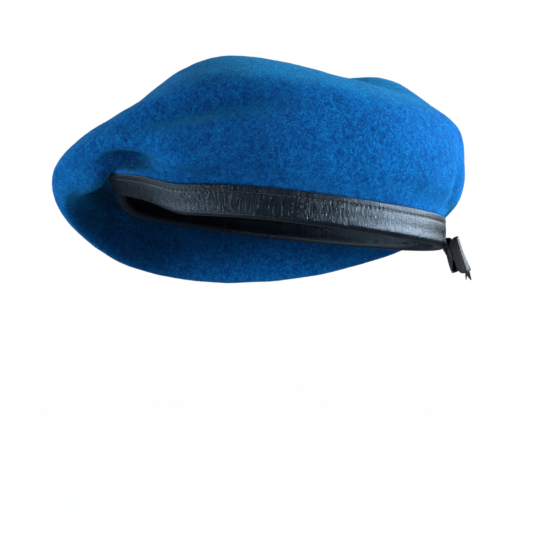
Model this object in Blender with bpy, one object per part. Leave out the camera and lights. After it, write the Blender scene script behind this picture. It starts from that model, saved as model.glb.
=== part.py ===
"""A felted wool beret with a leather sweatband and a ribbon bow, worn pulled to its right side.

Frame: +Z up as worn, the wearer's front is -Y and the wearer's left is +X.
The origin is the middle of the head opening. Lengths are in metres.
"""
import math

import bmesh
import bpy
import numpy as np
from mathutils import Vector

MM = 0.001

# Head opening and leather band
OPENING_HALF_WIDTH = 77 * MM
OPENING_HALF_LENGTH = 103.5 * MM
OPENING_CENTRE_Y = -1.5 * MM
BAND_MIDDLE_Z = 10 * MM
BAND_PITCH = -0.115          # metres of height lost per metre towards the back
BAND_ROLL = 0.05             # metres of height gained per metre towards the left
FRONT_PEAK = 9 * MM          # the front of the band is pulled up over the forehead
FRONT_LEAN = math.radians(32)  # and its top edge leans out there
BAND_HALF_HEIGHT = 9.5 * MM
LEATHER = 1.2 * MM
TUNNEL_HALF = 1.85 * MM      # half of the space between the band's two leather walls
BACK_GAP = math.radians(2.4)

# Cloth
FELT = 2.6 * MM
STIFFENER_DEPTH = (3.5 * MM, 4.3 * MM)
LINING = 0.6 * MM
COLUMNS = 48
ANGLES = [2 * math.pi * i / COLUMNS for i in range(COLUMNS)]

# Ribbon and bow
RIBBON = 0.9 * MM
KNOT = Vector((0, 110 * MM, -13 * MM))
BOW_ACROSS = Vector((0, 0.35, -0.937)).normalized()
BOW_OUT = Vector((0, 0.937, 0.35)).normalized()

# Crown profiles in millimetres: distance from the ring's centre, and height, every 45 degrees
# from the left side (+X) towards the back (+Y). The first ring is just above the leather band.
RING_CENTRES = [(0, -2), (0, -2), (0, -2), (0, -2), (0, -2), (-2, -4), (-4, -12), (-5, -20)]
PROFILES = [
    [(83, 33), (87, 45), (88, 59), (84, 73), (77, 86), (64, 95), (44, 104), (20, 109.5)],
    [(96, 22), (102, 33), (105, 46), (104, 60), (99, 73), (87, 83), (63, 95), (34, 102.5)],
    [(108, 12.5), (115, 18.6), (119, 30), (119.6, 44), (118, 62), (107.5, 76.5), (90.5, 92), (62, 95.5)],
    [(98, 10), (107, 1), (113, -8), (123, 5), (124, 34), (113, 70), (90, 102.5), (56, 104)],
    [(87, 19), (95, -6), (101, -32), (114, -20), (116, 8), (107, 40), (84, 72), (40, 101)],
    [(101, 26), (110, 4), (117, -24), (127, -18), (132, 7), (118, 42), (87, 77), (38, 106)],
    [(116, 35), (126, 26), (137, 19.5), (144.5, 30), (137, 42), (116, 52), (78.5, 77), (38, 107)],
    [(98, 42), (104, 48), (107, 55), (107, 63), (102, 74), (88, 84), (62, 98), (28, 110)],
]
APEX = Vector((-5 * MM, -24 * MM, 110.5 * MM))
STEPS = [1, 1, 2, 2, 2, 2, 2, 2, 2, 1]   # grid rings between neighbouring profile points

# The lining is cut smaller than the felt, so it stays clear of the rim's fold.
LINING_CENTRES = [(0, -2), (-2, -4), (-5, -20)]
LINING_PROFILES = [
    [(78, 62), (56, 88), (20, 102)],
    [(92, 52), (76, 75), (34, 95)],
    [(105, 40), (98, 68), (60, 89)],
    [(103, 32), (102, 54), (54, 96)],
    [(97, 27), (95, 36), (38, 94)],
    [(110, 40), (104, 52), (38, 99)],
    [(107, 49), (93, 62), (38, 99)],
    [(78, 58), (70, 80), (28, 103)],
]
LINING_APEX = Vector((-5 * MM, -24 * MM, 104 * MM))


def material(name, colour, roughness, metallic=0.0):
    """A plain Principled material."""
    made = bpy.data.materials.new(name)
    made.use_nodes = True
    shader = made.node_tree.nodes["Principled BSDF"]
    shader.inputs["Base Color"].default_value = (*colour, 1)
    shader.inputs["Roughness"].default_value = roughness
    shader.inputs["Metallic"].default_value = metallic
    return made


def add_object(name, bm, colour, roughness, smooth=True):
    """Turn a bmesh into a named object with its own material and outward faces."""
    bm.normal_update()
    bmesh.ops.recalc_face_normals(bm, faces=bm.faces)
    if bm.calc_volume(signed=True) < 0:
        bmesh.ops.reverse_faces(bm, faces=bm.faces)
    mesh = bpy.data.meshes.new(name)
    bm.to_mesh(mesh)
    bm.free()
    if smooth:
        mesh.shade_smooth()
        mesh.set_sharp_from_angle(angle=math.radians(50))
    made = bpy.data.objects.new(name, mesh)
    mesh.materials.append(material(name, colour, roughness))
    bpy.context.collection.objects.link(made)
    return made


def bell(value, centre, width):
    """A smooth bump of height 1."""
    return math.exp(-((value - centre) / width) ** 2)


def front_turn(angle):
    """Degrees from the band's front peak, positive towards the left side."""
    return (math.degrees(angle) + 88 + 180) % 360 - 180


def front_rise(angle):
    """How far the band's front is pulled up: steep on the right side, slow on the left."""
    turn = front_turn(angle)
    return bell(turn, 0, 17 if turn < 0 else 38) - 0.2 * bell(turn, 58, 16)


def band_frame(angle):
    """Middle of the band's section, and its outward and upward directions."""
    x = OPENING_HALF_WIDTH * math.cos(angle)
    y = OPENING_CENTRE_Y + OPENING_HALF_LENGTH * math.sin(angle)
    z = BAND_MIDDLE_Z + BAND_PITCH * y + BAND_ROLL * x + FRONT_PEAK * front_rise(angle)
    level = Vector((math.cos(angle) / OPENING_HALF_WIDTH,
                    math.sin(angle) / OPENING_HALF_LENGTH, 0)).normalized()
    lean = FRONT_LEAN * bell(front_turn(angle), 22, 34)
    up = Vector((0, 0, 1)) * math.cos(lean) + level * math.sin(lean)
    out = level * math.cos(lean) - Vector((0, 0, 1)) * math.sin(lean)
    return Vector((x, y, z)), out, up


def band_point(angle, out_by, up_by):
    """A point placed from the middle of the band's section."""
    middle, out, up = band_frame(angle)
    return middle + out * out_by + up * up_by


def round_spline(values, count):
    """A smooth closed curve through evenly spaced values, sampled count times."""
    values = np.asarray(values, float)
    size = len(values)
    matrix = np.zeros((size, size))
    for i in range(size):
        matrix[i, i] = 4
        matrix[i, i - 1] = matrix[i, (i + 1) % size] = 1
    pull = 3 * (np.roll(values, -1, 0) - np.roll(values, 1, 0))
    slope = np.linalg.solve(matrix, pull)
    places = np.arange(count) * size / count
    i = places.astype(int)
    t = (places - i)[:, None]
    j = (i + 1) % size
    return (values[i] * (2 * t ** 3 - 3 * t ** 2 + 1) + slope[i] * (t ** 3 - 2 * t ** 2 + t)
            + values[j] * (3 * t ** 2 - 2 * t ** 3) + slope[j] * (t ** 3 - t ** 2))


def curve_through(points, steps):
    """A curve through points, cut into the given number of steps per span."""
    points = [points[0] * 2 - points[1]] + points + [points[-1] * 2 - points[-2]]
    made = []
    for i, count in enumerate(steps):
        p = points[i:i + 4]
        knots = [0.0]
        for a, b in zip(p, p[1:]):
            knots.append(knots[-1] + max((b - a).length, 1e-6) ** 0.5)
        for step in range(count):
            t = knots[1] + (knots[2] - knots[1]) * step / count
            row, level = p, 1
            while len(row) > 1:
                row = [a.lerp(b, (t - knots[n if level < 3 else 1]) / (
                    knots[n + level if level < 3 else 2] - knots[n if level < 3 else 1]))
                    for n, (a, b) in enumerate(zip(row, row[1:]))]
                level += 1
            made.append(row[0])
    return made + [points[-2]]


def crown_folds(angle, depth):
    """Local folds of the draped crown, as a distance moved along the outward normal."""
    turn = math.degrees(angle) % 360
    pocket = -4 * MM * bell(turn, 308, 11) * bell(depth, 3.0, 1.6)
    lip = 3.5 * MM * bell(turn, 331, 13) * bell(depth, 3.4, 1.6)
    dent = -4 * MM * bell(turn, 318, 22) * bell(depth, 8.2, 1.6)
    pinch = -3 * MM * bell(turn, 76, 7) * bell(depth, 4.8, 2.3)
    valley = -3 * MM * bell(turn, 82, 20) * bell(depth, 14.6, 1.3)
    return pocket + lip + dent + pinch + valley


def profile_rings(centres, profiles):
    """Closed rings of points through the profiles' points, in order from low to high."""
    rings = []
    for ring, centre in enumerate(centres):
        points = []
        for angle, (reach, height) in zip(ANGLES, round_spline([row[ring] for row in profiles], COLUMNS)):
            way = Vector((OPENING_HALF_WIDTH * math.cos(angle),
                          OPENING_HALF_LENGTH * math.sin(angle), 0)).normalized()
            points.append(Vector((centre[0], centre[1], height)) * MM + way * reach * MM)
        rings.append(points)
    return rings


def loft(rings, steps):
    """A grid of rings on the smooth surface through the given rings."""
    columns = [curve_through([ring[i] for ring in rings], steps) for i in range(COLUMNS)]
    return [[column[i] for column in columns] for i in range(len(columns[0]))]


def lining_grid():
    """Outer surface of the lining, from the band's top edge to the middle of the top panel."""
    low = [band_point(a, -2.3 * MM, BAND_HALF_HEIGHT + 0.9 * MM) for a in ANGLES]
    above = [band_point(a, (-3 - 9 * bell(front_turn(a), 22, 34)) * MM, BAND_HALF_HEIGHT + 4 * MM)
             for a in ANGLES]
    return loft([low, above] + profile_rings(LINING_CENTRES, LINING_PROFILES)
                + [[LINING_APEX] * COLUMNS], [1, 2, 2, 3, 1])


def crown_grid():
    """Outer surface of the felt as rings of points, from its edge inside the band to the top."""
    half = FELT / 2
    edge = [band_point(a, half, 4.3 * MM) for a in ANGLES]
    mouth = [band_point(a, half, BAND_HALF_HEIGHT + 0.9 * MM) for a in ANGLES]
    grid = loft([edge, mouth] + profile_rings(RING_CENTRES, PROFILES) + [[APEX] * COLUMNS], STEPS)
    normals = grid_normals(grid)
    for ring in range(2, len(grid) - 1):
        for i, angle in enumerate(ANGLES):
            grid[ring][i] = grid[ring][i] + normals[ring][i] * crown_folds(angle, ring)
    return grid, grid_normals(grid)


def grid_normals(grid):
    """Outward unit normals of a closed ring grid."""
    made = []
    last = len(grid) - 1
    for r, ring in enumerate(grid):
        row = []
        for i in range(len(ring)):
            if r == last:
                row.append(Vector((0, 0, 1)))
                continue
            if r == 0:
                row.append(band_frame(2 * math.pi * i / len(ring))[1])
                continue
            along = ring[(i + 1) % len(ring)] - ring[i - 1]
            above = (grid[r + 1][i] - ring[i]).normalized() + (ring[i] - grid[r - 1][i]).normalized()
            row.append(along.cross(above).normalized())
        made.append(row)
    return made


def add_cell(bm, a, b, c, d):
    """A cell of the grid as two triangles, split alike on every layer so that none cross."""
    bm.faces.new([a, b, c])
    if c is not d:
        bm.faces.new([a, c, d])


def shell(grid, normals, outer, inner, first, last):
    """A closed sheet between two depths below the crown's outer surface."""
    bm = bmesh.new()
    count = len(grid[0])
    layers = []
    for depth in (outer, inner):
        rows = []
        for r in range(first, last + 1):
            if r == len(grid) - 1:
                rows.append([bm.verts.new(grid[r][0] - normals[r][0] * depth)] * count)
            else:
                rows.append([bm.verts.new(p - n * depth) for p, n in zip(grid[r], normals[r])])
        layers.append(rows)
    for rows in layers:
        for low, high in zip(rows, rows[1:]):
            for i in range(count):
                add_cell(bm, low[i], low[(i + 1) % count], high[(i + 1) % count], high[i])
    ends = [0] if last == len(grid) - 1 else [0, -1]
    for end in ends:
        a, b = layers[0][end], layers[1][end]
        for i in range(count):
            bm.faces.new([a[i], a[(i + 1) % count], b[(i + 1) % count], b[i]])
    return bm


def patch(grid, normals, outer, inner, rings, columns):
    """A closed plate over part of the crown grid."""
    bm = bmesh.new()
    layers = [[[bm.verts.new(grid[r][c % COLUMNS] - normals[r][c % COLUMNS] * depth)
                for c in columns] for r in rings] for depth in (outer, inner)]
    for rows in layers:
        for low, high in zip(rows, rows[1:]):
            for i in range(len(columns) - 1):
                add_cell(bm, low[i], low[i + 1], high[i + 1], high[i])
    border = ([(0, i) for i in range(len(columns))]
              + [(r, len(columns) - 1) for r in range(1, len(rings))]
              + [(len(rings) - 1, i) for i in range(len(columns) - 2, -1, -1)]
              + [(r, 0) for r in range(len(rings) - 2, 0, -1)])
    for (r1, c1), (r2, c2) in zip(border, border[1:] + border[:1]):
        bm.faces.new([layers[0][r1][c1], layers[0][r2][c2], layers[1][r2][c2], layers[1][r1][c1]])
    return bm


def sweep(sections, closed):
    """A tube through equal sections, capped at both ends unless it closes on itself."""
    bm = bmesh.new()
    rows = [[bm.verts.new(p) for p in section] for section in sections]
    pairs = list(zip(rows, rows[1:] + rows[:1])) if closed else list(zip(rows, rows[1:]))
    for a, b in pairs:
        for i in range(len(a)):
            bm.faces.new([a[i], a[(i + 1) % len(a)], b[(i + 1) % len(a)], b[i]])
    if not closed:
        for row in (rows[0], rows[-1]):
            bm.faces.new(row)
    return bm


def band_section(angle):
    """The folded leather strip: outer wall, rounded fold at the bottom, inner wall."""
    top, low = BAND_HALF_HEIGHT, -BAND_HALF_HEIGHT
    inner, outer = TUNNEL_HALF, TUNNEL_HALF + LEATHER
    outline = [(outer, top), (outer + 0.3 * MM, 0), (outer, low + 2.4 * MM), (outer * 0.6, low),
               (-outer * 0.6, low), (-outer, low + 2.4 * MM), (-outer, top),
               (-inner, top), (-inner, low + 3 * MM), (0, low + LEATHER),
               (inner, low + 3 * MM), (inner, top)]
    return [band_point(angle, *corner) for corner in outline]


def along_band(gap):
    """Angles once round the opening on the crown's columns, leaving a gap at the back."""
    back = math.pi / 2
    columns = [back + 2 * math.pi * i / COLUMNS for i in range(1, COLUMNS)]
    return [back + gap] + columns + [back + 2 * math.pi - gap]


def build_band():
    """Leather band, its two stitch threads and the ribbon in its fold."""
    add_object("leather_band", sweep([band_section(a) for a in along_band(BACK_GAP)], False),
               (0.022, 0.025, 0.030), 0.42)
    outer = TUNNEL_HALF + LEATHER
    for name, middle in (("stitch_needle_thread", outer + 0.75 * MM),
                         ("stitch_bobbin_thread", -outer - 0.65 * MM)):
        ring = [[band_point(a, middle + dx * MM, 5.5 * MM + dy * MM)
                 for dx, dy in ((0.3, 0), (-0.15, 0.26), (-0.15, -0.26))]
                for a in along_band(BACK_GAP + 0.03)]
        add_object(name, sweep(ring, False), (0.015, 0.015, 0.018), 0.6)
    tape = [[band_point(a, dx * MM, dy * MM)
             for dx, dy in ((0.8, -5.6), (0.8, 2.4), (-0.8, 2.4), (-0.8, -5.6))]
            for a in along_band(BACK_GAP)]
    add_object("draw_tape", sweep(tape, False), (0.012, 0.012, 0.015), 0.8)


def build_crown():
    """Felt shell and the badge stiffener behind its front."""
    grid, normals = crown_grid()
    last = len(grid) - 1
    add_object("felt_crown", shell(grid, normals, 0, FELT, 0, last), (0.02, 0.16, 0.48), 0.95)
    plate = patch(grid, normals, *STIFFENER_DEPTH, range(3, 9), range(34, 39))
    add_object("badge_stiffener", plate, (0.55, 0.52, 0.45), 0.8)


def build_lining():
    """The ring-shaped and round lining panels, and the thread where they meet."""
    grid = lining_grid()
    normals = grid_normals(grid)
    seam, last = 5, len(grid) - 1
    add_object("lining_side", shell(grid, normals, 0, LINING, 0, seam), (0.010, 0.010, 0.012), 0.45)
    thread = [[p - n * (LINING + (0.75 + dx) * MM) + (q - p).normalized() * dy * MM
               for dx, dy in ((0.35, 0), (-0.2, 0.3), (-0.2, -0.3))]
              for p, n, q in zip(grid[seam], normals[seam], grid[seam + 1])]
    grid[seam] = [p + (q - p).normalized() * 0.5 * MM for p, q in zip(grid[seam], grid[seam + 1])]
    add_object("lining_top", shell(grid, normals, 0, LINING, seam, last), (0.010, 0.010, 0.012), 0.45)
    add_object("lining_seam_thread", sweep(thread, True), (0.02, 0.02, 0.024), 0.6)


def bow_point(across, out, along):
    """A point placed from the knot: sideways (+X), away from the head, and down the bow."""
    return KNOT + Vector((across, 0, 0)) * MM + BOW_OUT * out * MM + BOW_ACROSS * along * MM


def ribbon_strip(path):
    """A flat ribbon through stations of (across, out at the top, top, out at the bottom, bottom)."""
    sections = []
    half = RIBBON / MM / 2
    for i, station in enumerate(path):
        before, after = path[max(i - 1, 0)], path[min(i + 1, len(path) - 1)]
        corners = []
        for edge in (1, 3):
            way = Vector((after[0] - before[0], after[edge] - before[edge])).normalized()
            side = Vector((-way.y, way.x)) * half
            corners.append([bow_point(station[0] + sign * side.x, station[edge] + sign * side.y,
                                      station[edge + 1]) for sign in (1, -1)])
        sections.append([corners[0][0], corners[0][1], corners[1][1], corners[1][0]])
    return sweep(sections, False)


def build_loop(name, side):
    """One loop of the bow: pinched at the knot, spread and rounded at its far end."""
    stations = [(5.0, -0.8, -3.6, -0.8, 3.6), (9, -0.4, -6.0, -1.8, 7.5), (15, 0.2, -8.0, -2.4, 11),
                (21, 0.8, -9.0, -2.2, 13), (25, 1.5, -9.4, -1.0, 13.8), (26.4, 2.4, -9.5, 0.8, 14),
                (25, 3.3, -9.4, 2.6, 13.8), (21, 4.0, -9.0, 4.2, 13), (15, 4.2, -8.0, 4.6, 11),
                (9, 3.2, -6.0, 3.8, 7.5), (5.0, 1.1, -3.6, 1.1, 3.6)]
    add_object(name, ribbon_strip([(side * x, *edges) for x, *edges in stations]),
               (0.012, 0.012, 0.015), 0.75)


def build_tail(name, side):
    """A loose ribbon end: leaves the knot's front face and hangs below it, cut at a slant."""
    bm = bmesh.new()
    rows = []
    for along, near, far, out, slant in ((4.4, 0.5, 4.0, 4.2, 0), (9, 0.6, 6.2, 4.7, 0),
                                         (14, 0.9, 9.2, 4.7, 0), (18.5, 1.4, 12.4, 3.4, 2.0)):
        rows.append([bm.verts.new(bow_point(side * x, out + half, along + slip)) for x, half, slip in
                     ((near, -0.45, -slant), (near, 0.45, -slant), (far, 0.45, slant),
                      (far, -0.45, slant))])
    for a, b in zip(rows, rows[1:]):
        for i in range(4):
            bm.faces.new([a[i], a[(i + 1) % 4], b[(i + 1) % 4], b[i]])
    for row in (rows[0], rows[-1]):
        bm.faces.new(row)
    made = add_object(name, bm, (0.012, 0.012, 0.015), 0.75)
    set_origin(made, bow_point(0, 4.2, 4.4))


def set_origin(made, point):
    """Move an object's origin to a world point without moving its shape."""
    made.data.transform(made.matrix_world.inverted())
    for vertex in made.data.vertices:
        vertex.co -= point
    made.location = point


def build_knot():
    """The wrapped knot: a small rounded block of ribbon."""
    bm = bmesh.new()
    bmesh.ops.create_cube(bm, size=1)
    bmesh.ops.bevel(bm, geom=bm.edges[:], offset=0.22, segments=2, profile=0.6, affect="EDGES")
    for vertex in bm.verts:
        x, y, z = vertex.co
        vertex.co = bow_point(9 * x, 7 * y, 10 * z)
    add_object("tape_knot", bm, (0.012, 0.012, 0.015), 0.75)


def build_lead(name, side):
    """The short run of ribbon from the band's open end out to the back of the knot."""
    stations = [(2.2, Vector((0, 102.0, 0.6)) * MM, Vector((0, 102.0, -5.3)) * MM),
                (2.1, Vector((0, 103.4, -1.8)) * MM, Vector((0, 103.0, -9.0)) * MM),
                (1.7, bow_point(0, -3.9, -3.2), bow_point(0, -3.9, 3.2))]
    sections = []
    for x, high, low in stations:
        near, far = Vector(((x - 0.5) * side, 0, 0)) * MM, Vector(((x + 0.5) * side, 0, 0)) * MM
        sections.append([high + near, high + far, low + far, low + near])
    add_object(name, sweep(sections, False), (0.012, 0.012, 0.015), 0.8)


def build_bow():
    """Knot, loops, loose ends and the leads that carry them."""
    build_knot()
    for side, word in ((1, "left"), (-1, "right")):
        build_loop("bow_loop_" + word, side)
        build_tail("tape_tail_" + word, side)
        build_lead("tape_lead_" + word, side)


for old in list(bpy.data.objects):
    bpy.data.objects.remove(old, do_unlink=True)
build_band()
build_crown()
build_lining()
build_bow()
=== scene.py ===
import math

import bmesh
import bpy
import numpy as np
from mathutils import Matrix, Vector, noise


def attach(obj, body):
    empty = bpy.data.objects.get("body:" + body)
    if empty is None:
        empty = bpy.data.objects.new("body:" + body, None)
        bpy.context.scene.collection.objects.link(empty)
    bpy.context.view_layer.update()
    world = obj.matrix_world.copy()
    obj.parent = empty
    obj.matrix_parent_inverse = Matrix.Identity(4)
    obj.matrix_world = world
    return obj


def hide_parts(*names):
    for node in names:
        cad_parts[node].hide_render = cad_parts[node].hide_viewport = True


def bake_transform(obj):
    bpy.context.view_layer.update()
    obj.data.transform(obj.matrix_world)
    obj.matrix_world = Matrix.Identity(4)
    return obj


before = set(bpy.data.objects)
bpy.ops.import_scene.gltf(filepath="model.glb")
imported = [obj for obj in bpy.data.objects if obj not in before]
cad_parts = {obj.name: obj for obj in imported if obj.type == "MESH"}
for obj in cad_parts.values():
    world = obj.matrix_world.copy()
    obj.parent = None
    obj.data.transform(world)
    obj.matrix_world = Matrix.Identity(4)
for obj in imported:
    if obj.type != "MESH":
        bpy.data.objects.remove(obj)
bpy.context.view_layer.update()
MM = 0.001
rng = np.random.default_rng(7)

# ---------------------------------------------------------------- measures
# As in the CAD, except LEAN, which is 6 degrees more here.
HALF_WIDTH, HALF_LENGTH, CENTRE_Y = 77 * MM, 103.5 * MM, -1.5 * MM
BAND_Z, PITCH, ROLL, PEAK = 10 * MM, -0.115, 0.05, 9 * MM
LEAN = math.radians(38)
HALF_HEIGHT, LEATHER, TUNNEL = 9.5 * MM, 1.2 * MM, 1.85 * MM
BACK_GAP = math.radians(2.4)
FELT = 2.6 * MM
FELT_EDGE = 4.3 * MM  # the felt's edge above the middle of the band's section
KNOT = np.array((0, 110, -13)) * MM
DOWN = np.array((0, 0.35, -0.937)) / math.hypot(0.35, 0.937)
OUT = np.array((0, 0.937, 0.35)) / math.hypot(0.35, 0.937)

# Details that only the visual model has.
CROWN_COLUMNS, BAND_COLUMNS, LINING_COLUMNS, TAPE_COLUMNS = 320, 760, 240, 420
FIBRE_COUNT = 15000
STITCH_PITCH, STITCH_HEIGHT = 3 * MM, 5.5 * MM
LINING_SEAM_ROW, LINING_CLOTH = 32, 0.5 * MM
RIB_PITCH = 0.95 * MM
FLOOR_Z, FLOOR_REACH = -1.6, 20

# Crown profiles in millimetres (distance from the ring's centre, height), every 45 degrees from
# the left side towards the back, from just above the leather to the top.
CENTRES = [(0, -2), (0, -2), (0, -2), (0, -2), (0, -2), (-2, -4), (-4, -12), (-5, -20)]
PROFILES = [
    [(83, 33), (87, 45), (88, 59), (84, 73), (77, 86), (64, 95), (44, 104), (20, 109.5)],
    [(96, 22), (102, 33), (105, 46), (104, 60), (99, 73), (87, 83), (63, 95), (34, 102.5)],
    [(108, 12.5), (115, 18.6), (119, 30), (119.6, 44), (118, 62), (107.5, 76.5), (90.5, 92), (62, 95.5)],
    [(98, 10), (107, 1), (113, -8), (123, 5), (124, 34), (113, 70), (90, 102.5), (56, 104)],
    [(87, 19), (95, -6), (101, -32), (114, -20), (116, 8), (107, 40), (84, 72), (40, 101)],
    [(101, 26), (110, 4), (117, -24), (127, -18), (132, 7), (118, 42), (87, 77), (38, 106)],
    [(116, 35), (126, 26), (137, 19.5), (144.5, 30), (137, 42), (116, 52), (78.5, 77), (38, 107)],
    [(98, 42), (104, 48), (107, 55), (107, 63), (102, 74), (88, 84), (62, 98), (28, 110)],
]
APEX = np.array((-5, -24, 110.5)) * MM
LINING_CENTRES = [(0, -2), (-2, -4), (-5, -20)]
LINING_PROFILES = [
    [(78, 62), (56, 88), (20, 102)], [(92, 52), (76, 75), (34, 95)],
    [(105, 40), (98, 68), (60, 89)], [(103, 32), (102, 54), (54, 96)],
    [(97, 27), (95, 36), (38, 94)], [(110, 40), (104, 52), (38, 99)],
    [(107, 49), (93, 62), (38, 99)], [(78, 58), (70, 80), (28, 103)],
]
LINING_APEX = np.array((-5, -24, 104)) * MM


# ---------------------------------------------------------------- shape helpers
def bell(value, centre, width):
    return np.exp(-((value - centre) / width) ** 2)


def step(low, high, value):
    """Smoothly from 0 at low to 1 at high."""
    t = np.clip((value - low) / (high - low), 0, 1)
    return t * t * (3 - 2 * t)


def turned(degrees, centre):
    """Signed degrees from a centre angle."""
    return (degrees - centre + 180) % 360 - 180


def ripple(points, scale, seed):
    """Smooth noise from -1 to 1 at each point, with features about 1/scale metres across."""
    shift = Vector((seed * 3.7, seed * 1.3, seed * 2.1))
    flat = points.reshape(-1, 3)
    made = np.array([noise.noise(Vector(p) * scale + shift) for p in flat])
    return made.reshape(points.shape[:-1])


def band_frame(angle):
    """Middle of the band's section with its outward and upward directions, one row per angle."""
    angle = np.asarray(angle, float)
    x = HALF_WIDTH * np.cos(angle)
    y = CENTRE_Y + HALF_LENGTH * np.sin(angle)
    turn = turned(np.degrees(angle), -88)
    rise = np.exp(-(turn / np.where(turn < 0, 17, 38)) ** 2) - 0.2 * bell(turn, 58, 16)
    rise = rise - 0.13 * bell(turn, 53, 7) + 0.10 * bell(turn, 35, 9)
    z = BAND_Z + PITCH * y + ROLL * x + PEAK * rise
    level = np.stack([np.cos(angle) / HALF_WIDTH, np.sin(angle) / HALF_LENGTH, np.zeros_like(x)], -1)
    level /= np.linalg.norm(level, axis=-1, keepdims=True)
    lean = (LEAN * bell(turn, 22, 32))[..., None]
    top = np.array((0, 0, 1.0))
    return np.stack([x, y, z], -1), level * np.cos(lean) - top * np.sin(lean), \
        top * np.cos(lean) + level * np.sin(lean)


def band_points(angle, out_by, up_by):
    middle, out, up = band_frame(angle)
    return middle + out * np.asarray(out_by)[..., None] + up * np.asarray(up_by)[..., None]


def round_spline(values, angle):
    """A smooth closed curve through evenly spaced values, read at any angles."""
    values = np.asarray(values, float)
    size = len(values)
    matrix = np.zeros((size, size))
    for i in range(size):
        matrix[i, i] = 4
        matrix[i, i - 1] = matrix[i, (i + 1) % size] = 1
    slope = np.linalg.solve(matrix, 3 * (np.roll(values, -1, 0) - np.roll(values, 1, 0)))
    place = (np.asarray(angle) / (2 * math.pi) % 1) * size
    i = np.floor(place).astype(int) % size
    t = (place % 1)[:, None]
    j = (i + 1) % size
    return (values[i] * (2 * t ** 3 - 3 * t ** 2 + 1) + slope[i] * (t ** 3 - 2 * t ** 2 + t)
            + values[j] * (3 * t ** 2 - 2 * t ** 3) + slope[j] * (t ** 3 - t ** 2))


def curve_through(points, steps):
    """Rows of points on smooth curves through the given rows, with a number of steps per span."""
    points = [2 * points[0] - points[1]] + list(points) + [2 * points[-1] - points[-2]]
    made = []
    for i, count in enumerate(steps):
        p = points[i:i + 4]
        knots = [np.zeros(p[0].shape[:-1])]
        for a, b in zip(p, p[1:]):
            knots.append(knots[-1] + np.maximum(np.linalg.norm(b - a, axis=-1), 1e-6) ** 0.5)
        for n in range(count):
            t = knots[1] + (knots[2] - knots[1]) * n / count

            def mix(a, b, low, high):
                share = ((t - knots[low]) / (knots[high] - knots[low]))[..., None]
                return a + (b - a) * share
            a1, a2, a3 = (mix(p[k], p[k + 1], k, k + 1) for k in range(3))
            made.append(mix(mix(a1, a2, 0, 2), mix(a2, a3, 1, 3), 1, 2))
    return np.array(made + [points[-2]])


def profile_rings(centres, profiles, angle):
    rings = []
    way = np.stack([HALF_WIDTH * np.cos(angle), HALF_LENGTH * np.sin(angle), 0 * angle], -1)
    way /= np.linalg.norm(way, axis=-1, keepdims=True)
    for ring, centre in enumerate(centres):
        size = round_spline([row[ring] for row in profiles], angle)
        ring_points = way * size[:, :1] * MM
        ring_points += np.array((*centre, 0)) * MM
        ring_points[:, 2] = size[:, 1] * MM
        rings.append(ring_points)
    return rings


def grid_normals(grid):
    """Outward normals of a grid of closed rings."""
    along = np.roll(grid, -1, 1) - np.roll(grid, 1, 1)
    above = np.gradient(grid, axis=0)
    normal = np.cross(along, above)
    length = np.linalg.norm(normal, axis=-1, keepdims=True)
    normal = normal / np.maximum(length, 1e-12)
    normal[-1] = (0, 0, 1)
    return normal


# ---------------------------------------------------------------- mesh helpers
def make_object(name, points, faces, material, body, replaces=(), smooth=True):
    mesh = bpy.data.meshes.new(name)
    mesh.from_pydata([tuple(p) for p in points], [], [tuple(int(i) for i in f) for f in faces])
    bm = bmesh.new()
    bm.from_mesh(mesh)
    bmesh.ops.recalc_face_normals(bm, faces=bm.faces)
    bm.to_mesh(mesh)
    bm.free()
    if smooth:
        mesh.shade_smooth()
    made = bpy.data.objects.new(name, mesh)
    mesh.materials.append(material)
    bpy.context.collection.objects.link(made)
    if replaces:
        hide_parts(*replaces)
    if body:
        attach(made, body)
    return made


def grid_faces(rows, columns, wrap, start=0, flip=False):
    """Quads between the rows of a grid of points numbered row by row."""
    row, column = np.meshgrid(np.arange(rows - 1), np.arange(columns if wrap else columns - 1),
                              indexing="ij")
    after = (column + 1) % columns
    quad = np.stack([row * columns + column, row * columns + after,
                     (row + 1) * columns + after, (row + 1) * columns + column], -1).reshape(-1, 4)
    return (quad[:, ::-1] if flip else quad) + start


def shell_mesh(outer, inner, closed_top):
    """Points and faces of a closed sheet between two ring grids; the last ring may be one point."""
    rows, columns = outer.shape[:2]
    if closed_top:
        rows -= 1
    layers = [grid[:rows].reshape(-1, 3) for grid in (outer, inner)]
    points = np.concatenate(layers)
    second = rows * columns
    faces = [list(f) for f in grid_faces(rows, columns, True)]
    faces += [list(f) for f in grid_faces(rows, columns, True, second, True)]
    for i in range(columns):
        j = (i + 1) % columns
        faces.append([i, second + i, second + j, j])
    last = (rows - 1) * columns
    if closed_top:
        points = np.concatenate([points, [outer[-1, 0], inner[-1, 0]]])
        for k, base in ((0, last), (1, second + last)):
            top = len(points) - 2 + k
            faces += [[base + i, base + (i + 1) % columns, top] for i in range(columns)]
    else:
        faces += [[last + i, last + (i + 1) % columns, second + last + (i + 1) % columns,
                   second + last + i] for i in range(columns)]
    return points, faces


def sweep_mesh(sections, closed=False):
    """Points and faces of a tube through equal sections, capped unless it closes on itself."""
    rows, columns = sections.shape[:2]
    faces = [list(f) for f in grid_faces(rows, columns, True)]
    if closed:
        last = (rows - 1) * columns
        faces += [[last + i, last + (i + 1) % columns, (i + 1) % columns, i] for i in range(columns)]
    else:
        faces.append(list(range(columns)))
        faces.append(list(range((rows - 1) * columns, rows * columns)))
    return sections.reshape(-1, 3), faces


# ---------------------------------------------------------------- materials
def new_material(name):
    made = bpy.data.materials.new(name)
    made.use_nodes = True
    return made, made.node_tree.nodes, made.node_tree.links, made.node_tree.nodes["Principled BSDF"]


def add_node(nodes, kind, **inputs):
    made = nodes.new(kind)
    for name, value in inputs.items():
        made.inputs[name.replace("_", " ")].default_value = value
    return made


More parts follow.
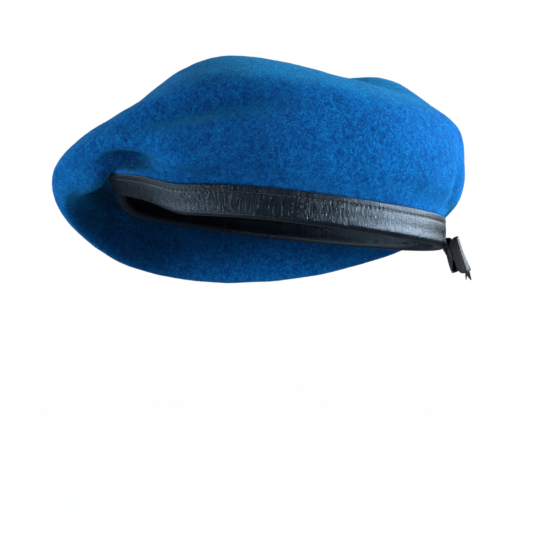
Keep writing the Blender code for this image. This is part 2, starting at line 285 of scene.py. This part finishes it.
def noise_node(nodes, links, vector, scale, detail=3.0, rough=0.5, distortion=0.0):
    made = add_node(nodes, "ShaderNodeTexNoise", Scale=scale, Detail=detail, Roughness=rough,
                    Distortion=distortion)
    links.new(vector, made.inputs["Vector"])
    return made.outputs["Fac"]


def ramp(nodes, links, value, stops):
    made = nodes.new("ShaderNodeValToRGB")
    while len(made.color_ramp.elements) < len(stops):
        made.color_ramp.elements.new(0.5)
    for element, (place, colour) in zip(made.color_ramp.elements, stops):
        element.position, element.color = place, (*colour, 1)
    links.new(value, made.inputs["Fac"])
    return made.outputs["Color"]


def math_node(nodes, links, operation, a, b):
    made = nodes.new("ShaderNodeMath")
    made.operation = operation
    for socket, value in zip(made.inputs, (a, b)):
        if isinstance(value, (int, float)):
            socket.default_value = value
        else:
            links.new(value, socket)
    return made.outputs[0]


def mix_colour(nodes, links, factor, a, b):
    made = nodes.new("ShaderNodeMix")
    made.data_type = "RGBA"
    for socket, value in ((made.inputs[0], factor), (made.inputs[6], a), (made.inputs[7], b)):
        if hasattr(value, "is_linked"):
            links.new(value, socket)
        else:
            socket.default_value = value if isinstance(value, (int, float)) else (*value, 1)
    return made.outputs[2]


def bump(nodes, links, height, distance, strength, normal=None):
    made = add_node(nodes, "ShaderNodeBump", Strength=strength, Distance=distance)
    links.new(height, made.inputs["Height"])
    if normal is not None:
        links.new(normal, made.inputs["Normal"])
    return made.outputs["Normal"]


def felt_material():
    """Milled wool: matted fibres about a millimetre across, mottled, soft sheen; its colour is darkened in
    hollows by an ambient occlusion node, which is painted shade.
    """
    made, nodes, links, shader = new_material("felted_wool")
    where = nodes.new("ShaderNodeTexCoord").outputs["Object"]
    fibres = noise_node(nodes, links, where, 760, 5, 0.78, 2.0)
    clumps = noise_node(nodes, links, where, 260, 4, 0.65, 1.0)
    clouds = noise_node(nodes, links, where, 28, 2, 0.5)
    tone = math_node(nodes, links, "ADD", math_node(nodes, links, "MULTIPLY", fibres, 0.74),
                     math_node(nodes, links, "MULTIPLY", clumps, 0.26))
    colour = ramp(nodes, links, tone, [(0.40, (0.0002, 0.013, 0.085)), (0.50, (0.0003, 0.046, 0.200)),
                                       (0.60, (0.004, 0.180, 0.48))])
    shade = ramp(nodes, links, clouds, [(0.35, (0.0002, 0.030, 0.14)), (0.65, (0.0005, 0.072, 0.27))])
    felt = mix_colour(nodes, links, 0.22, colour, shade)
    # Painted shade: ambient occlusion darkens the felt's colour in creases and hollows, multiplied into the
    # base colour.
    painted_hollow_shade = add_node(nodes, "ShaderNodeAmbientOcclusion", Distance=0.035)
    painted_hollow_shade.samples = 8
    light = ramp(nodes, links, painted_hollow_shade.outputs["AO"], [(0.50, (0.32, 0.32, 0.32)), (0.97, (1, 1, 1))])
    felt_painted_shade = nodes.new("ShaderNodeMix")
    felt_painted_shade.data_type, felt_painted_shade.blend_type = "RGBA", "MULTIPLY"
    felt_painted_shade.inputs[0].default_value = 1.0
    links.new(felt, felt_painted_shade.inputs[6])
    links.new(light, felt_painted_shade.inputs[7])
    links.new(felt_painted_shade.outputs[2], shader.inputs["Base Color"])
    links.new(bump(nodes, links, tone, 0.0014, 0.9), shader.inputs["Normal"])
    shader.inputs["Roughness"].default_value = 0.95
    shader.inputs["Specular IOR Level"].default_value = 0.05
    shader.inputs["Sheen Weight"].default_value = 0.20
    shader.inputs["Sheen Roughness"].default_value = 0.35
    shader.inputs["Sheen Tint"].default_value = (0.05, 0.74, 1.0, 1)
    return made


def fibre_material():
    """Single wool fibres, each a little lighter or darker than the next."""
    made, nodes, links, shader = new_material("wool_fibre")
    where = nodes.new("ShaderNodeTexCoord").outputs["Object"]
    tone = noise_node(nodes, links, where, 900, 2, 0.6)
    links.new(ramp(nodes, links, tone, [(0.35, (0.001, 0.085, 0.32)), (0.65, (0.012, 0.30, 0.70))]),
              shader.inputs["Base Color"])
    shader.inputs["Roughness"].default_value = 0.8
    shader.inputs["Specular IOR Level"].default_value = 0.1
    shader.inputs["Sheen Weight"].default_value = 0.2
    shader.inputs["Sheen Tint"].default_value = (0.10, 0.70, 1.0, 1)
    return made


def leather_material():
    """Thin black glove leather: pebbled grain, creases, and paler wear where it is rubbed."""
    made, nodes, links, shader = new_material("black_leather")
    where = nodes.new("ShaderNodeTexCoord").outputs["Object"]
    cells = add_node(nodes, "ShaderNodeTexVoronoi", Scale=850)
    cells.feature = "DISTANCE_TO_EDGE"
    links.new(where, cells.inputs["Vector"])
    grain = math_node(nodes, links, "MINIMUM", cells.outputs["Distance"], 0.35)
    fine = noise_node(nodes, links, where, 2600, 3, 0.6)
    patches = noise_node(nodes, links, where, 70, 3, 0.6)
    height = math_node(nodes, links, "ADD", grain, math_node(nodes, links, "MULTIPLY", fine, 0.25))
    pull = add_node(nodes, "ShaderNodeMapping", Scale=(1, 1, 0.28))
    links.new(where, pull.inputs["Vector"])
    crease = noise_node(nodes, links, pull.outputs["Vector"], 520, 4, 0.6, 1.2)
    soft = bump(nodes, links, crease, 0.0007, 0.7)
    links.new(bump(nodes, links, height, 0.0003, 0.8, soft), shader.inputs["Normal"])
    links.new(ramp(nodes, links, patches, [(0.35, (0.0010, 0.0022, 0.0045)), (0.7, (0.004, 0.007, 0.012))]),
              shader.inputs["Base Color"])
    rough = math_node(nodes, links, "ADD", math_node(nodes, links, "MULTIPLY", patches, 0.3), 0.16)
    links.new(rough, shader.inputs["Roughness"])
    shader.inputs["Specular IOR Level"].default_value = 0.30
    shader.inputs["Specular Tint"].default_value = (0.52, 0.76, 1.0, 1)
    return made


def weave_material(name, dark, light, scale, roughness, sheen, depth):
    """Cloth with crossing yarns a given number per metre."""
    made, nodes, links, shader = new_material(name)
    where = nodes.new("ShaderNodeTexCoord").outputs["Object"]
    yarns = []
    for turn in ((0.6, 0.2, 0.1), (0.2, 0.7, 1.7)):
        place = add_node(nodes, "ShaderNodeMapping", Rotation=turn)
        links.new(where, place.inputs["Vector"])
        wave = add_node(nodes, "ShaderNodeTexWave", Scale=scale, Distortion=0.6, Detail=1)
        links.new(place.outputs["Vector"], wave.inputs["Vector"])
        yarns.append(wave.outputs["Fac"])
    weave = math_node(nodes, links, "MULTIPLY", *yarns)
    fuzz = noise_node(nodes, links, where, 1500, 3, 0.6)
    tone = math_node(nodes, links, "ADD", math_node(nodes, links, "MULTIPLY", weave, 0.5),
                     math_node(nodes, links, "MULTIPLY", fuzz, 0.5))
    links.new(ramp(nodes, links, tone, [(0.2, dark), (0.7, light)]), shader.inputs["Base Color"])
    links.new(bump(nodes, links, tone, depth, 0.5), shader.inputs["Normal"])
    shader.inputs["Roughness"].default_value = roughness
    shader.inputs["Specular IOR Level"].default_value = 0.3
    shader.inputs["Sheen Weight"].default_value = sheen
    shader.inputs["Sheen Roughness"].default_value = 0.4
    return made


FELT_MAT = felt_material()
FIBRE_MAT = fibre_material()
LEATHER_MAT = leather_material()
LINING_MAT = weave_material("satin_lining", (0.008, 0.008, 0.011), (0.034, 0.036, 0.043), 420, 0.36, 0.2,
                            0.0002)
RIBBON_MAT = weave_material("grosgrain_ribbon", (0.002, 0.004, 0.008), (0.012, 0.018, 0.030), 700, 0.6,
                            0.06, 0.0001)
THREAD_MAT = weave_material("sewing_thread", (0.004, 0.005, 0.007), (0.020, 0.022, 0.028), 2200, 0.6, 0.3,
                            0.0001)
BOARD_MAT = weave_material("stiffener_buckram", (0.30, 0.28, 0.22), (0.55, 0.52, 0.44), 260, 0.85, 0.1,
                           0.0003)


# ---------------------------------------------------------------- felt crown
def crown_folds(turn, depth):
    """Folds of the draped felt: how far each point moves outward and how far it sags, in metres."""
    rooted = step(1.15, 2.1, depth)
    flank = bell(turned(turn, 285), 0, 14) * rooted * step(7.0, 3.0, depth)
    lip = bell(turned(turn, 331), 0, 11) * rooted * step(7.0, 2.6, depth)
    line = turned(turn, 311 - 2.2 * (depth - 1))
    width = np.maximum(np.where(line < 0, 9.5, 9.0) - 1.1 * (depth - 1), 3.5)
    pocket = np.exp(-np.abs(line / width) ** 2.6) * step(1.0, 1.8, depth) * step(6.2, 3.2, depth)
    dent = bell(turned(turn, 335), 0, 21) * (bell(depth, 8.3, 1.5) - 0.3 * bell(depth, 11.6, 1.3))
    pinch = bell(turned(turn, 76), 0, 4) * bell(depth, 5.0, 2.4)
    valley = bell(turned(turn, 82), 0, 20) * bell(depth, 14.6, 1.2)
    out = 3.0 * flank + 4.5 * lip - 6.0 * pocket - 7.0 * dent - 4.5 * pinch - 3.0 * valley
    return out * MM, (8.5 * flank + 4.0 * lip) * MM


def build_crown():
    angle = np.arange(CROWN_COLUMNS) * 2 * math.pi / CROWN_COLUMNS
    steps = [3, 5, 12, 12, 12, 10, 12, 14, 18, 14]
    cad = [1, 1, 2, 2, 2, 2, 2, 2, 2, 1]
    edge = band_points(angle, FELT / 2 + 0.3 * MM, FELT_EDGE)
    mouth = band_points(angle, FELT / 2 + 1.1 * MM, HALF_HEIGHT + 1.0 * MM)
    rings = [edge, mouth] + profile_rings(CENTRES, PROFILES, angle) + [np.tile(APEX, (len(angle), 1))]
    grid = curve_through(rings, steps)
    depth = np.concatenate([[sum(cad[:i]) + cad[i] * n / count for n in range(count)]
                            for i, count in enumerate(steps)] + [[sum(cad)]])[:, None]
    turn = np.degrees(angle)[None, :]
    free = step(1.0, 2.2, depth) * step(17.0, 16.2, depth)
    out, sag = crown_folds(turn, depth)
    grid = grid + grid_normals(grid) * (out * free)[..., None]
    grid[..., 2] -= sag * free
    soft = ripple(grid, 22, 1) * 1.1 + ripple(grid, 60, 2) * 0.45 + ripple(grid, 170, 3) * 0.12
    grid = grid + grid_normals(grid) * (soft * free)[..., None] * MM
    inner = grid - grid_normals(grid) * FELT
    points, faces = shell_mesh(grid, inner, True)
    make_object("crown_felt", points, faces, FELT_MAT, "hat", ["felt_crown"])
    build_fibres(grid[4:-2], grid_normals(grid)[4:-2], FIBRE_COUNT)


def build_fibres(grid, normals, count):
    """Loose fibres lying on the felt, each a thin curved strip that lifts off a little."""
    columns = grid.shape[1]
    weight = np.linalg.norm(np.roll(grid, -1, 1) - grid, axis=-1)[:-1] \
        * np.linalg.norm(np.diff(grid, axis=0), axis=-1)
    weight = weight.ravel() / weight.sum()
    pick = rng.choice(weight.size, count, p=weight)
    r, c = pick // columns, pick % columns
    u, v = rng.random((2, count, 1))
    after = (c + 1) % columns
    root = (grid[r, c] * (1 - u) + grid[r, after] * u) * (1 - v) \
        + (grid[r + 1, c] * (1 - u) + grid[r + 1, after] * u) * v
    normal = normals[r, c]
    side = grid[r, after] - grid[r, c]
    side /= np.linalg.norm(side, axis=1, keepdims=True)
    other = np.cross(normal, side)
    heading = rng.random((count, 1)) * 2 * math.pi
    curl = rng.normal(0, 0.9, (count, 1))
    length = rng.uniform(1.0, 2.6, (count, 1)) * MM
    lift = rng.uniform(0.05, 0.45, (count, 1)) * MM
    stations, place = [], root.copy()
    for k, height in enumerate((0.0, 0.7, 0.8)):
        turn = heading + curl * k
        way = side * np.cos(turn) + other * np.sin(turn)
        if k:
            place = place + way * length / 2
        wide = (side * -np.sin(turn) + other * np.cos(turn)) * (0.045, 0.05, 0.02)[k] * MM
        centre = place + normal * (lift * height + 0.02 * MM)
        stations += [centre - wide, centre + wide]
    points = np.stack(stations, 1).reshape(-1, 3)
    start = np.arange(count)[:, None] * 6
    faces = np.concatenate([start + np.array((0, 1, 3, 2)), start + np.array((2, 3, 5, 4))])
    make_object("felt_fibres", points, faces, FIBRE_MAT, "hat")


# ---------------------------------------------------------------- leather band and stitches
def around_back(count, gap):
    """Angles once round the opening from one side of the back gap to the other."""
    return math.pi / 2 + gap + (2 * math.pi - 2 * gap) * np.arange(count + 1) / count


def build_band():
    angle = around_back(BAND_COLUMNS, BACK_GAP)
    wall = TUNNEL + LEATHER
    outline = [(wall, h) for h in np.linspace(HALF_HEIGHT, -6.6 * MM, 26)]
    outline += [(wall * math.cos(t), -6.6 * MM - 2.9 * MM * math.sin(t))
                for t in np.linspace(0.25, 2.89, 9)]
    outline += [(-wall, h) for h in np.linspace(-6.6 * MM, HALF_HEIGHT, 12)]
    outline += [(-TUNNEL, h) for h in np.linspace(HALF_HEIGHT, -6.4 * MM, 5)]
    outline += [(TUNNEL * math.cos(t), -6.4 * MM - 1.8 * MM * math.sin(t)) for t in (2.4, 1.57, 0.7)]
    outline += [(TUNNEL, h) for h in np.linspace(-6.4 * MM, HALF_HEIGHT, 5)]
    out_by = np.array([o for o, _ in outline])
    up_by = np.array([u for _, u in outline])
    middle, out, up = band_frame(angle)
    flat = middle[:, None] + out[:, None] * out_by[None, :, None] + up[:, None] * up_by[None, :, None]
    run = np.concatenate([[0], np.cumsum(np.linalg.norm(np.diff(middle, axis=0), axis=1))])
    outside = (np.abs(out_by) >= wall * 0.15) * np.where(np.arange(len(outline)) < 47, 1, 0)
    where = np.stack([run[:, None] * 620 + up_by[None] * 90, up_by[None] * 190 + run[:, None] * 40,
                      np.zeros((len(angle), len(outline)))], -1)
    crackle = -np.abs(ripple(where, 1, 4)) * 0.9 - np.abs(ripple(where * 2.1, 1, 5)) * 0.4
    front_left = bell(turned(np.degrees(angle), -28), 0, 45)[:, None]
    creased = step(5.0, 2.5, up_by / MM)[None] * (0.35 + 0.65 * front_left)
    long_waves = ripple(flat, 45, 6) * 0.55
    puff = 0.55 * bell(up_by / MM, -6.5, 3.2)[None] + 0.25 * bell(up_by / MM, 1.5, 3.2)[None]
    stitch_pull = 1 + 0.4 * np.cos(run * 2 * math.pi / STITCH_PITCH)[:, None]
    seam = -0.35 * bell(up_by / MM, STITCH_HEIGHT / MM, 0.75)[None] * stitch_pull
    move = (crackle * creased * 0.24 + long_waves * 0.5 + puff + seam) * MM
    fade = step(HALF_HEIGHT / MM, 8.2, up_by / MM)[None]
    side = np.sign(out_by)[None] * outside[None]
    away = np.where(np.abs(out_by) > wall * 0.97, 1, np.abs(out_by) / wall)[None]
    grid = flat + out[:, None] * (move * side * away * fade)[..., None]
    points, faces = sweep_mesh(grid)
    make_object("band_leather", points, faces, LEATHER_MAT, "hat", ["leather_band"])


def build_stitches(name, node, side):
    """A row of separate stitches, each dipping into the leather at both ends."""
    wall = TUNNEL + LEATHER
    fine = around_back(4000, BACK_GAP + 0.03)
    middle = band_points(fine, side * wall, np.full(fine.shape, STITCH_HEIGHT))
    run = np.concatenate([[0], np.cumsum(np.linalg.norm(np.diff(middle, axis=0), axis=1))])
    count = int(run[-1] / STITCH_PITCH)
    pitch = run[-1] / count
    points, faces = [], []
    for k in range(count):
        start = k * pitch + 0.3 * MM
        share = np.linspace(0, 1, 7)
        angle = np.interp(start + share * (pitch - 0.6 * MM), run, fine)
        lift = (np.sin(math.pi * share) ** 0.6 * 0.42 - 0.42) * MM
        slant = (share - 0.5) * 0.35 * MM
        centre, out, up = band_frame(angle)
        path = centre + out * (side * (wall + lift))[:, None] + up * (STITCH_HEIGHT + slant)[:, None]
        radius = (0.20 + 0.08 * np.sin(math.pi * share)) * MM
        base = len(points)
        for i in range(7):
            for t in np.arange(6) * math.pi / 3:
                points.append(path[i] + (out[i] * math.cos(t) + up[i] * math.sin(t)) * radius[i])
        faces += [list(f) for f in grid_faces(7, 6, True, base)]
        faces += [list(range(base, base + 6)), list(range(base + 36, base + 42))]
    make_object(name, points, faces, THREAD_MAT, "hat", [node])


# ---------------------------------------------------------------- lining
def build_lining():
    angle = np.arange(LINING_COLUMNS) * 2 * math.pi / LINING_COLUMNS
    low = band_points(angle, -2.3 * MM, HALF_HEIGHT + 0.9 * MM)
    lean = bell(turned(np.degrees(angle), -88), 22, 34)
    above = band_points(angle, (-3 - 9 * lean) * MM, HALF_HEIGHT + 4 * MM)
    rings = [low, above] + profile_rings(LINING_CENTRES, LINING_PROFILES, angle)
    grid = curve_through(rings + [np.tile(LINING_APEX, (len(angle), 1))], [4, 14, 14, 22, 14])
    rows = np.arange(len(grid))[:, None]
    seam = LINING_SEAM_ROW
    turn = np.degrees(angle)[None]
    puckers = ripple(grid * np.array((1, 1, 0.35)), 85, 8) * 0.9 * bell(rows, 8, 9)
    seam_pull = -0.9 * bell(rows, seam, 1.4) + 0.35 * np.cos(np.radians(turn * 60)) * bell(rows, seam, 3.5)
    loose = ripple(grid, 30, 9) * 0.9 - 6.0 * bell(turned(turn, 306), 0, 16) * bell(rows, 16, 11)
    free = step(1, 6, rows) * step(len(grid) - 1, len(grid) - 6, rows)
    grid = grid + grid_normals(grid) * ((puckers + seam_pull + loose) * free)[..., None] * MM
    normal = grid_normals(grid)
    inner = grid - normal * LINING_CLOTH
    points, faces = shell_mesh(grid[:seam + 1], inner[:seam + 1], False)
    make_object("lining_side_cloth", points, faces, LINING_MAT, "hat", ["lining_side"])
    top_grid, top_inner = grid[seam:].copy(), inner[seam:].copy()
    top_grid[0] += (grid[seam + 1] - grid[seam]) * 0.15
    top_inner[0] += (inner[seam + 1] - inner[seam]) * 0.15
    points, faces = shell_mesh(top_grid, top_inner, True)
    make_object("lining_top_cloth", points, faces, LINING_MAT, "hat", ["lining_top"])
    points, faces = [], []
    ring, ring_normal = inner[seam], normal[seam]
    for k in range(LINING_COLUMNS):
        a, b = ring[k], ring[(k + 1) % LINING_COLUMNS]
        n = -ring_normal[k]
        side = np.cross(b - a, n)
        side /= np.linalg.norm(side)
        base = len(points)
        for share in (0.12, 0.32, 0.68, 0.88):
            rise = 0.1 + 0.22 * math.sin(math.pi * share)
            for t in np.arange(5) * 2 * math.pi / 5:
                points.append(a + (b - a) * share + n * rise * MM
                              + (n * math.cos(t) + side * math.sin(t)) * 0.16 * MM)
        faces += [list(f) for f in grid_faces(4, 5, True, base)]
        faces += [list(range(base, base + 5)), list(range(base + 15, base + 20))]
    make_object("lining_seam_stitches", points, faces, THREAD_MAT, "hat", ["lining_seam_thread"])


# ---------------------------------------------------------------- ribbon
def bow_point(across, out, along):
    return KNOT + np.array((across, 0, 0)) * MM + OUT * out * MM + DOWN * along * MM


def ribbon(name, node, edges, body, thick=0.75, ribs=0.16, cup=0.0, pieces=10):
    """A ribbed ribbon through stations of (one edge, other edge) points."""
    edges = np.array(edges, float)
    steps = [max(2, int(np.linalg.norm(b.mean(0) - a.mean(0)) / (0.16 * MM)))
             for a, b in zip(edges, edges[1:])]
    low, high = (curve_through(list(edges[:, k]), steps) for k in (0, 1))
    middle = (low + high) / 2
    run = np.concatenate([[0], np.cumsum(np.linalg.norm(np.diff(middle, axis=0), axis=1))])
    way = np.gradient(middle, axis=0)
    normal = np.cross(way, high - low)
    normal /= np.linalg.norm(normal, axis=1, keepdims=True)
    share = np.linspace(0, 1, pieces + 1)
    half = thick / 2 * (1 + ribs * np.cos(run * 2 * math.pi / RIB_PITCH))[:, None] \
        * (0.55 + 0.45 * np.minimum(1, 8 * share * (1 - share)))[None]
    bow = cup * (4 * share * (1 - share))[None] * np.ones_like(half)
    across = low[:, None] + (high - low)[:, None] * share[None, :, None]
    front = across + normal[:, None] * ((half + bow) * MM)[..., None]
    back = across - normal[:, None] * ((half - bow) * MM)[..., None]
    sections = np.concatenate([front, back[:, ::-1]], 1)
    points, faces = sweep_mesh(sections)
    return make_object(name, points, faces, RIBBON_MAT, body, [node])


def build_bow():
    for side, word in ((1, "left"), (-1, "right")):
        stations = [(4.6, -0.8, -3.2, -0.8, 3.2), (9, -0.4, -6.0, -1.8, 7.5), (15, 0.2, -8.0, -2.4, 11),
                    (21, 0.8, -9.0, -2.2, 13), (25, 1.5, -9.4, -1.0, 13.8), (26.4, 2.4, -9.5, 0.8, 14),
                    (25, 3.3, -9.4, 2.6, 13.8), (21, 4.0, -9.0, 4.2, 13), (15, 4.2, -8.0, 4.6, 11),
                    (9, 3.2, -6.0, 3.8, 7.5), (4.6, 1.1, -3.2, 1.1, 3.2)]
        ribbon("loop_" + word, "bow_loop_" + word,
               [(bow_point(side * x, m, a), bow_point(side * x, n, b)) for x, m, a, n, b in stations],
               "bow", cup=0.7)
        tail = [(4.4, 0.5, 4.0, 4.2, 0), (9, 0.6, 6.2, 4.7, 0), (14, 0.9, 9.2, 4.7, 0),
                (18.2, 1.4, 12.2, 3.5, 2.0)]
        edges = [(bow_point(side * near, out, along - slant), bow_point(side * far, out, along + slant))
                 for along, near, far, out, slant in tail]
        ribbon("tail_" + word, "tape_tail_" + word, edges, "tail_" + word, cup=0.3)
        back = [(2.2, np.array((0, 102.0, 0.6)) * MM, np.array((0, 102.0, -5.3)) * MM),
                (2.1, np.array((0, 103.4, -1.8)) * MM, np.array((0, 103.0, -9.0)) * MM),
                (1.7, bow_point(0, -3.7, -3.2), bow_point(0, -3.7, 3.2))]
        shift = [np.array((side * x, 0, 0)) * MM for x, _, _ in back]
        lead = ribbon("lead_" + word, "tape_lead_" + word,
                      [(high + s, low + s) for (x, high, low), s in zip(back, shift)], None, thick=0.8)
        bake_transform(lead)
    build_knot()


def build_knot():
    """The ribbon wrapped round the bow's middle, with its ribs across the wrap."""
    sections = []
    for x in np.linspace(-4.5, 4.5, 22):
        pinch = 1 - 0.28 * (abs(x) / 4.5) ** 3
        t = np.arange(96) * 2 * math.pi / 96
        size = (np.abs(np.cos(t)) ** 2.6 + np.abs(np.sin(t)) ** 2.6) ** (-1 / 2.6)
        size = size * pinch * (1 + 0.022 * np.cos(t * 26)) - 0.05 * math.cos(x * 2.2)
        sections.append([bow_point(x, 3.5 * s * math.cos(a), 5.0 * s * math.sin(a))
                         for s, a in zip(size, t)])
    points, faces = sweep_mesh(np.array(sections))
    make_object("knot_wrap", points, faces, RIBBON_MAT, "bow", ["tape_knot"])


def build_tape():
    angle = around_back(TAPE_COLUMNS, BACK_GAP)
    ribbon_edge = [band_points(angle, np.zeros(angle.shape), np.full(angle.shape, h * MM))
                   for h in (-5.6, 2.4)]
    share = np.linspace(0, 1, 7)
    out = band_frame(angle)[1]
    across = ribbon_edge[0][:, None] + (ribbon_edge[1] - ribbon_edge[0])[:, None] * share[None, :, None]
    half = np.where((share > 0) & (share < 1), 0.8, 0.5) * MM
    sections = np.concatenate([across + out[:, None] * half[None, :, None],
                               (across - out[:, None] * half[None, :, None])[:, ::-1]], 1)
    points, faces = sweep_mesh(sections)
    make_object("tape_ring", points, faces, RIBBON_MAT, "hat", ["draw_tape"])


build_crown()
build_band()
build_stitches("stitches_outside", "stitch_needle_thread", 1)
build_stitches("stitches_inside", "stitch_bobbin_thread", -1)
build_lining()
build_tape()
build_bow()
for slot_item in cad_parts["badge_stiffener"].material_slots:
    slot_item.material = BOARD_MAT


# ---------------------------------------------------------------- floor, lights, camera
def area_light(name, place, target, size, power, colour):
    data = bpy.data.lights.new(name, "AREA")
    data.shape, data.size, data.energy, data.color = "DISK", size, power, colour
    made = bpy.data.objects.new(name, data)
    made.location = place
    made.rotation_euler = (Vector(target) - Vector(place)).to_track_quat("-Z", "Y").to_euler()
    bpy.context.collection.objects.link(made)


floor_mesh = bpy.data.meshes.new("floor")
corners = [(x * FLOOR_REACH, y * FLOOR_REACH, FLOOR_Z) for x, y in ((-1, -1), (1, -1), (1, 1), (-1, 1))]
floor_mesh.from_pydata(corners, [], [(0, 1, 2, 3)])
floor = bpy.data.objects.new("floor", floor_mesh)
floor_mat, _, _, floor_shader = new_material("pale_floor")
floor_shader.inputs["Base Color"].default_value = (0.6, 0.6, 0.6, 1)
floor_shader.inputs["Roughness"].default_value = 0.9
floor_shader.inputs["Emission Color"].default_value = (1, 1, 1, 1)
floor_shader.inputs["Emission Strength"].default_value = 0.9
floor.visible_diffuse = floor.visible_glossy = False
floor_mesh.materials.append(floor_mat)
bpy.context.collection.objects.link(floor)

world = bpy.data.worlds.new("studio")
world.use_nodes = True
bpy.context.scene.world = world
wn, wl = world.node_tree.nodes, world.node_tree.links
sky = wn["Background"]
sky.inputs["Color"].default_value = (0.93, 0.96, 1.0, 1)
sky.inputs["Strength"].default_value = 0.15
white = wn.new("ShaderNodeBackground")
white.inputs["Color"].default_value = (1, 1, 1, 1)
seen = wn.new("ShaderNodeMixShader")
wl.new(wn.new("ShaderNodeLightPath").outputs["Is Camera Ray"], seen.inputs[0])
wl.new(sky.outputs[0], seen.inputs[1])
wl.new(white.outputs[0], seen.inputs[2])
wl.new(seen.outputs[0], wn["World Output"].inputs["Surface"])

area_light("window_back", (-0.45, 1.1, 0.5), (0, 0.05, 0.05), 0.7, 23, (0.93, 0.97, 1.0))
area_light("window_right", (0.3, 1.25, 0.2), (0, 0.1, 0.03), 0.5, 56, (0.93, 0.97, 1.0))
area_light("left_back", (-0.7, -0.9, 0.85), (0, -0.05, 0.05), 0.8, 13, (0.95, 0.98, 1.0))
area_light("window_left", (0.30, -1.35, 0.2), (0, -0.1, 0.03), 0.7, 26, (0.95, 0.98, 1.0))
area_light("window_low", (0.45, -0.8, -0.75), (0, -0.06, 0.0), 0.6, 10, (0.95, 0.98, 1.0))
area_light("front_fill", (1.4, -0.4, 0.6), (0, 0, 0.03), 1.2, 2.5, (1.0, 1.0, 1.0))

camera_data = bpy.data.cameras.new("camera")
camera_data.sensor_width, camera_data.lens = 36, 95
camera = bpy.data.objects.new("camera", camera_data)
camera.location = (0.9, -0.009, -0.022)
camera.rotation_euler = (math.radians(90), 0, math.radians(90))
bpy.context.collection.objects.link(camera)
bpy.context.scene.camera = camera
bpy.context.scene.view_settings.view_transform = "Standard"
